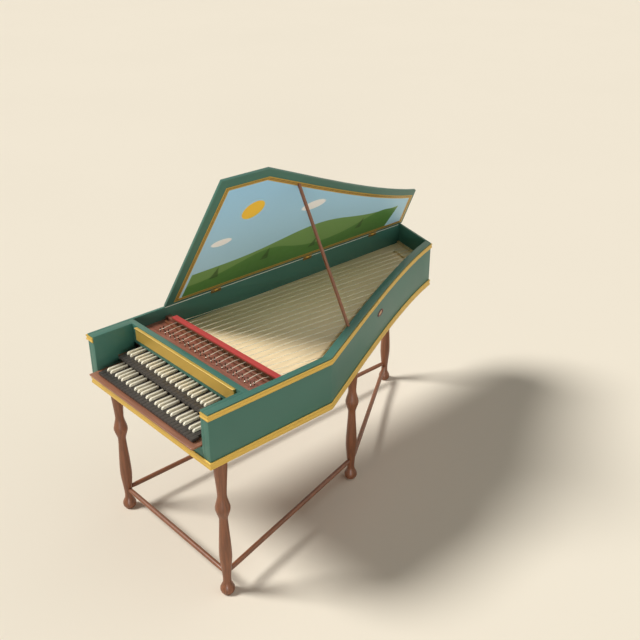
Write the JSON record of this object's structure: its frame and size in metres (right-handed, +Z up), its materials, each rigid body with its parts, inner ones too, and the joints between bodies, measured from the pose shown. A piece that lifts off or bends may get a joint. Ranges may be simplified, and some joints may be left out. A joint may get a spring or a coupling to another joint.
{
  "type": "harpsichord",
  "caption": "Two-manual harpsichord: wing-shaped case on turned legs, stepped keyboards, strings over a soundboard, and a lid held open by a stick.",
  "frame": {"origin": "centre of the bounding box on the floor, lid open", "axes": "+Z up, +Y along the strings from the keyboards to the tail, +X from the spine to the cheek"},
  "size_m": [0.924, 2.1182, 1.743],
  "materials": {
    "green_paint": "satin deep green paint on wood",
    "gilding": "worn gilding on wood",
    "inner_wood": "plain sawn wood",
    "soundboard": "pale close-grained wood, thin varnish",
    "dark_keys": "near-black wood, smooth",
    "pale_keys": "off-white key plates on wood",
    "red_cloth": "bright red cloth",
    "painting": "matt painted landscape on wood",
    "brass": "polished brass",
    "brown_wood": "warm reddish-brown wood, satin varnish"
  },
  "bodies": {
    "case": {"bottom_board": "inner_wood", "cheek": "green_paint", "bentside": "green_paint", "tail": "green_paint", "spine": "green_paint", "front_rail": "green_paint", "keybed_brace": "inner_wood", "belly_rail": "inner_wood", "bottom_brace_1": "inner_wood", "bottom_brace_2": "inner_wood", "soundboard_liner": "inner_wood", "soundboard": "soundboard", "bass_key_block": "green_paint", "treble_key_block": "green_paint", "front_beam": "green_paint", "nameboard": "gilding", "key_tray": "brown_wood", "top_moulding": "gilding", "base_moulding": "gilding", "lower_naturals": "dark_keys", "lower_sharps": "pale_keys", "upper_key_frame": "brown_wood", "upper_naturals": "dark_keys", "upper_sharps": "pale_keys", "bass_wrest_block": "inner_wood", "treble_wrest_block": "inner_wood", "wrestplank": "brown_wood", "nut_and_strings": "brown_wood", "bridge": "brown_wood", "hitchpin_rail": "brown_wood", "bass_rail_block": "green_paint", "treble_rail_block": "green_paint", "roundel": "brown_wood", "front_left_leg": "brown_wood", "front_right_leg": "brown_wood", "bentside_leg": "brown_wood", "tail_leg": "brown_wood", "front_stretcher": "brown_wood", "spine_stretcher": "brown_wood", "cheek_stretcher": "brown_wood", "bentside_stretcher": "brown_wood"},
    "lid": {"lid": "green_paint", "lid_frame": "gilding", "lid_painting": "painting", "lid_hinge_leaf_1": "brass", "lid_hinge_leaf_2": "brass", "lid_hinge_leaf_3": "brass"},
    "prop_stick": {"prop_stick": "brown_wood"},
    "jackrail": {"jackrail": "brown_wood", "jackrail_cover": "red_cloth"},
    "upper_register": {"upper_register": "inner_wood"},
    "lower_register": {"lower_register": "inner_wood"},
    "lower_free_natural": {"lower_free_natural": "dark_keys"},
    "lower_natural_jack": {"lower_natural_jack": "brown_wood"},
    "lower_free_sharp": {"lower_free_sharp": "pale_keys"},
    "lower_sharp_jack": {"lower_sharp_jack": "brown_wood"},
    "upper_free_natural": {"upper_free_natural": "dark_keys"},
    "upper_natural_jack": {"upper_natural_jack": "brown_wood"},
    "upper_free_sharp": {"upper_free_sharp": "pale_keys"},
    "upper_sharp_jack": {"upper_sharp_jack": "brown_wood"}
  },
  "joints": [
    {"name": "lid_hinge", "type": "hinge", "parent": "case", "child": "lid", "pos_m": [-0.4382, 0, 0.9867], "axis": [0, 1, 0], "range_deg": [0, 55.6]},
    {"name": "prop_stick_slide", "type": "slide", "parent": "case", "child": "prop_stick", "axis": [1, 0, 0], "range_m": [0, 1.13]},
    {"name": "jackrail_lift", "type": "slide", "parent": "case", "child": "jackrail", "axis": [0, 0, 1], "range_m": [0, 0.025]},
    {"name": "upper_register_slide", "type": "slide", "parent": "case", "child": "upper_register", "axis": [1, 0, 0], "range_m": [-0.0025, 0]},
    {"name": "lower_register_slide", "type": "slide", "parent": "case", "child": "lower_register", "axis": [1, 0, 0], "range_m": [-0.0025, 0]},
    {"name": "lower_natural_key_press", "type": "hinge", "parent": "case", "child": "lower_free_natural", "pos_m": [0, -0.78606, 0.8225], "axis": [1, 0, 0], "range_deg": [0, 1.38], "stiffness_Nm_per_rad": 4, "springref_deg": -1.15},
    {"name": "lower_natural_jack_rise", "type": "slide", "parent": "lower_register", "child": "lower_natural_jack", "axis": [0, 0, 1], "range_m": [0, 0.0048]},
    {"name": "lower_sharp_key_press", "type": "hinge", "parent": "case", "child": "lower_free_sharp", "pos_m": [0, -0.78606, 0.8225], "axis": [1, 0, 0], "range_deg": [0, 1.38], "stiffness_Nm_per_rad": 4, "springref_deg": -1.15},
    {"name": "lower_sharp_jack_rise", "type": "slide", "parent": "lower_register", "child": "lower_sharp_jack", "axis": [0, 0, 1], "range_m": [0, 0.0048]},
    {"name": "upper_natural_key_press", "type": "hinge", "parent": "case", "child": "upper_free_natural", "pos_m": [0, -0.72606, 0.864], "axis": [1, 0, 0], "range_deg": [0, 1.72], "stiffness_Nm_per_rad": 4, "springref_deg": -1.15},
    {"name": "upper_natural_jack_rise", "type": "slide", "parent": "upper_register", "child": "upper_natural_jack", "axis": [0, 0, 1], "range_m": [0, 0.0037]},
    {"name": "upper_sharp_key_press", "type": "hinge", "parent": "case", "child": "upper_free_sharp", "pos_m": [0, -0.72606, 0.864], "axis": [1, 0, 0], "range_deg": [0, 1.72], "stiffness_Nm_per_rad": 4, "springref_deg": -1.15},
    {"name": "upper_sharp_jack_rise", "type": "slide", "parent": "upper_register", "child": "upper_sharp_jack", "axis": [0, 0, 1], "range_m": [0, 0.0037]}
  ],
  "couplings": [
    {"joint": "prop_stick_slide", "follows": "lid_hinge", "m_per_rad": 1.15},
    {"joint": "lower_natural_jack_rise", "follows": "lower_natural_key_press", "m_per_rad": 0.19487},
    {"joint": "lower_sharp_jack_rise", "follows": "lower_sharp_key_press", "m_per_rad": 0.19487},
    {"joint": "upper_natural_jack_rise", "follows": "upper_natural_key_press", "m_per_rad": 0.12112},
    {"joint": "upper_sharp_jack_rise", "follows": "upper_sharp_key_press", "m_per_rad": 0.12112}
  ]
}
